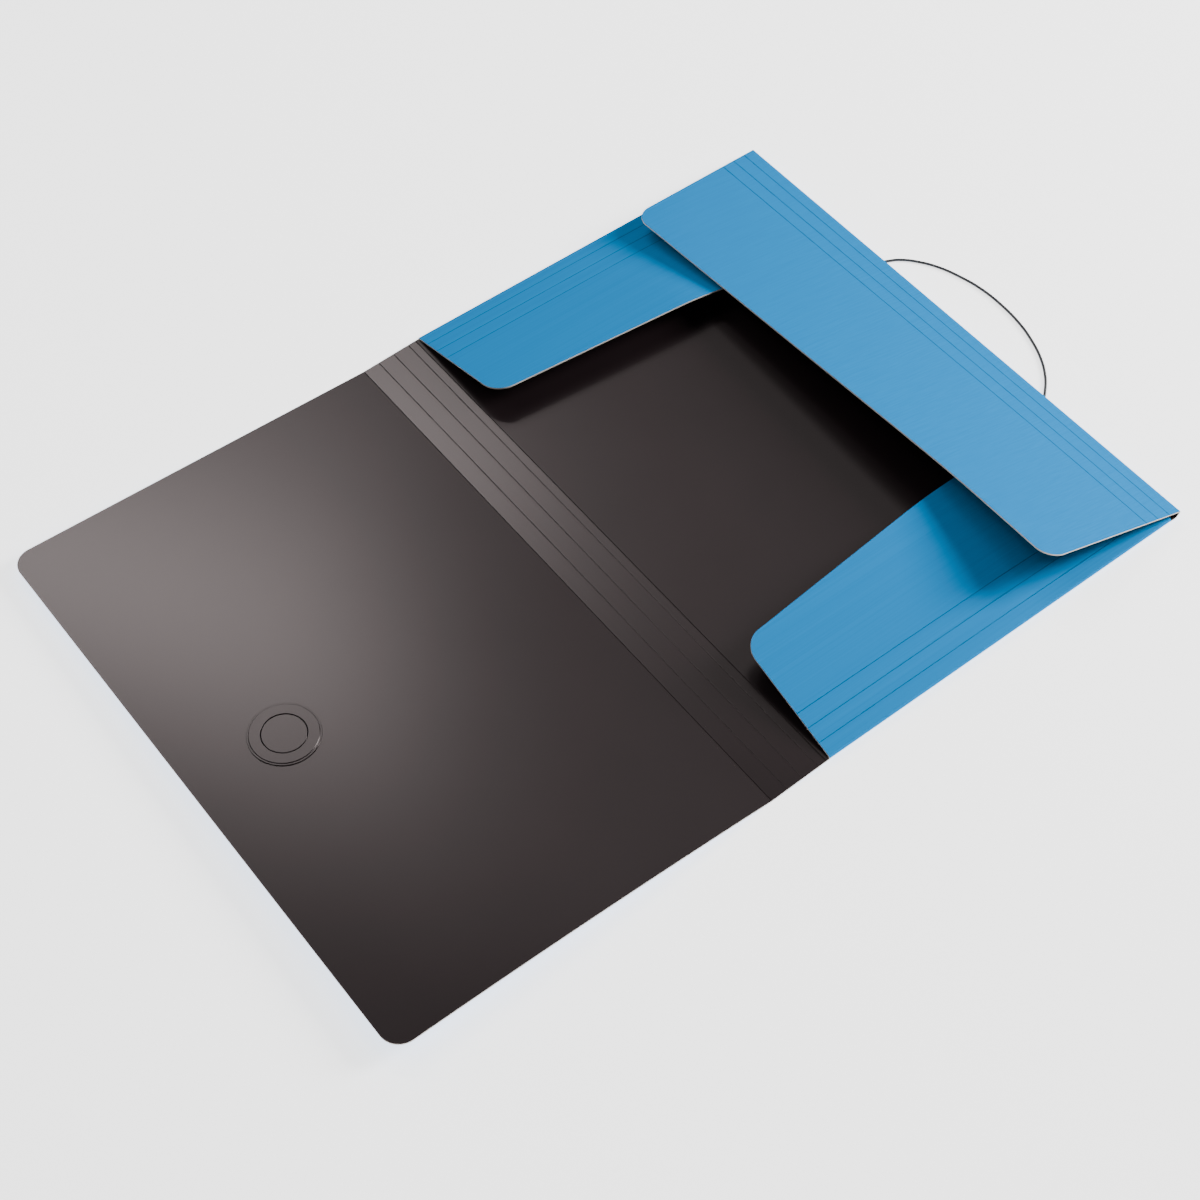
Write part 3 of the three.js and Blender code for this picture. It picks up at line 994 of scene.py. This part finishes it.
def addClosure():
    place = closurePlace()
    up = place.to_3x3() @ Vector((0, 0, 1))
    tilt = up.angle(Vector((0, 0, 1)))
    headRadius = closure["headRadius"]
    headDrop = place.translation.z - headRadius * math.sin(tilt) - closure["lowest"]
    headUnder = -headDrop / math.cos(tilt)
    headTop = headUnder + closure["headThickness"]
    button = turnedPiece("closureButton", [
        (closure["spigotRadius"], closure["spigotTop"]),
        (closure["spigotRadius"], closure["baseTop"]),
        (closure["baseRadius"], closure["baseTop"]),
        (closure["baseRadius"], closure["baseUnder"]),
        (closure["stemRadius"], closure["baseUnder"]),
        (closure["stemRadius"], headTop),
        (headRadius, headTop),
        (headRadius, headUnder),
    ], place, closure["edgeRound"], brownPlastic)
    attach(button, "cover")
    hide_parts("closure_button")
    inner, stepRadius = closure["ringInner"], closure["ringStepRadius"]
    ring = turnedPiece("closureRing", [
        (inner, closure["ringUnder"]),
        (closure["ringRadius"], closure["ringUnder"]),
        (closure["ringRadius"], closure["ringStep"]),
        (stepRadius, closure["ringStep"]),
        (stepRadius - closure["ringStepLean"], closure["ringTop"]),
        (inner, closure["ringTop"]),
        (inner, closure["ringUnder"]),
    ], place, closure["ringRound"], brownPlastic, hollow=True)
    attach(ring, "cover")
    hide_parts("button_ring")


addClosure()

# The elastic's end stops: beads closed at the top
stop = {
    "radius": 3.5 * mm,
    "bore": 1.6 * mm,
    "under": 3.0 * mm,
    "top": 6.3 * mm,
    "roof": 0.8 * mm,
    "edgeRound": 0.4 * mm,
}


def addStop(name, y, node):
    place = Matrix.Translation((backSheet["holeX"], y, 0))
    bead = turnedPiece(name, [
        (stop["bore"], stop["top"] - stop["roof"]),
        (stop["bore"], stop["under"]),
        (stop["radius"], stop["under"]),
        (stop["radius"], stop["top"]),
    ], place, stop["edgeRound"], blackPlastic)
    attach(bead, "back")
    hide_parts(node)


addStop("headStop", backSheet["holeYs"][0], "cord_stop_head")
addStop("footStop", backSheet["holeYs"][1], "cord_stop_foot")
print("stage: closure and stops")


# Studio: a plain pale floor, a low key from the fore-edge side, a thin sheen light and weak fills
studio = {
    "floorSize": 60,
    "floorDrop": 0.02 * mm,
    "floorColour": (0.92, 0.92, 0.92),
    "floorRoughness": 0.9,
    "floorGloss": 0.1,
    "floorGlow": 2.0,
    "worldColour": (1.0, 1.0, 1.0),
    "worldStrength": 0.08,
}
studioLights = {
    "sheenLight": {
        "azimuth": 8.1, "elevation": 47.0, "distance": 2.03, "turn": -35,
        "width": 0.97, "height": 0.05, "power": 9.0,
    },
    "broadLight": {
        "azimuth": 40, "elevation": 54, "distance": 1.9, "turn": -20,
        "width": 1.3, "height": 0.7, "power": 2.4,
    },
    "keyLight": {
        "azimuth": 112, "elevation": 28, "distance": 1.9, "turn": 0,
        "width": 0.6, "height": 0.8, "power": 66,
    },
    "fillLight": {
        "azimuth": 225, "elevation": 50, "distance": 2.1, "turn": 0,
        "width": 1.2, "height": 1.2, "power": 4,
    },
    "backLight": {
        "azimuth": -40, "elevation": 55, "distance": 2.0, "turn": 0,
        "width": 0.8, "height": 0.8, "power": 8,
    },
}


def addLight(name, settings):
    azimuth, elevation = math.radians(settings["azimuth"]), math.radians(settings["elevation"])
    way = Vector((
        math.sin(azimuth) * math.cos(elevation),
        math.cos(azimuth) * math.cos(elevation),
        math.sin(elevation),
    ))
    bpy.ops.object.light_add(type="AREA", location=way * settings["distance"])
    light = bpy.context.object
    light.name = name
    turn = Matrix.Rotation(math.radians(settings["turn"]), 4, "Z")
    light.rotation_euler = (way.to_track_quat("Z", "Y").to_matrix().to_4x4() @ turn).to_euler()
    light.data.shape = "RECTANGLE"
    light.data.size = settings["width"]
    light.data.size_y = settings["height"]
    light.data.energy = settings["power"]


def addStudio():
    deselectAll()
    bpy.ops.mesh.primitive_plane_add(size=studio["floorSize"], location=(0, 0, -studio["floorDrop"]))
    floor = bpy.context.object
    floor.name = "studioFloor"
    roughness, gloss = studio["floorRoughness"], studio["floorGloss"]
    material, _, shader = newMaterial("studioFloor", roughness, gloss)
    shader.inputs["Base Color"].default_value = (*studio["floorColour"], 1)
    shader.inputs["Emission Color"].default_value = (1, 1, 1, 1)
    shader.inputs["Emission Strength"].default_value = studio["floorGlow"]
    floor.data.materials.append(material)
    world = bpy.data.worlds.new("studioWorld")
    world.use_nodes = True
    background = world.node_tree.nodes["Background"]
    background.inputs["Color"].default_value = (*studio["worldColour"], 1)
    background.inputs["Strength"].default_value = studio["worldStrength"]
    bpy.context.scene.world = world
    for name, settings in studioLights.items():
        addLight(name, settings)


addStudio()
print("stage: studio")
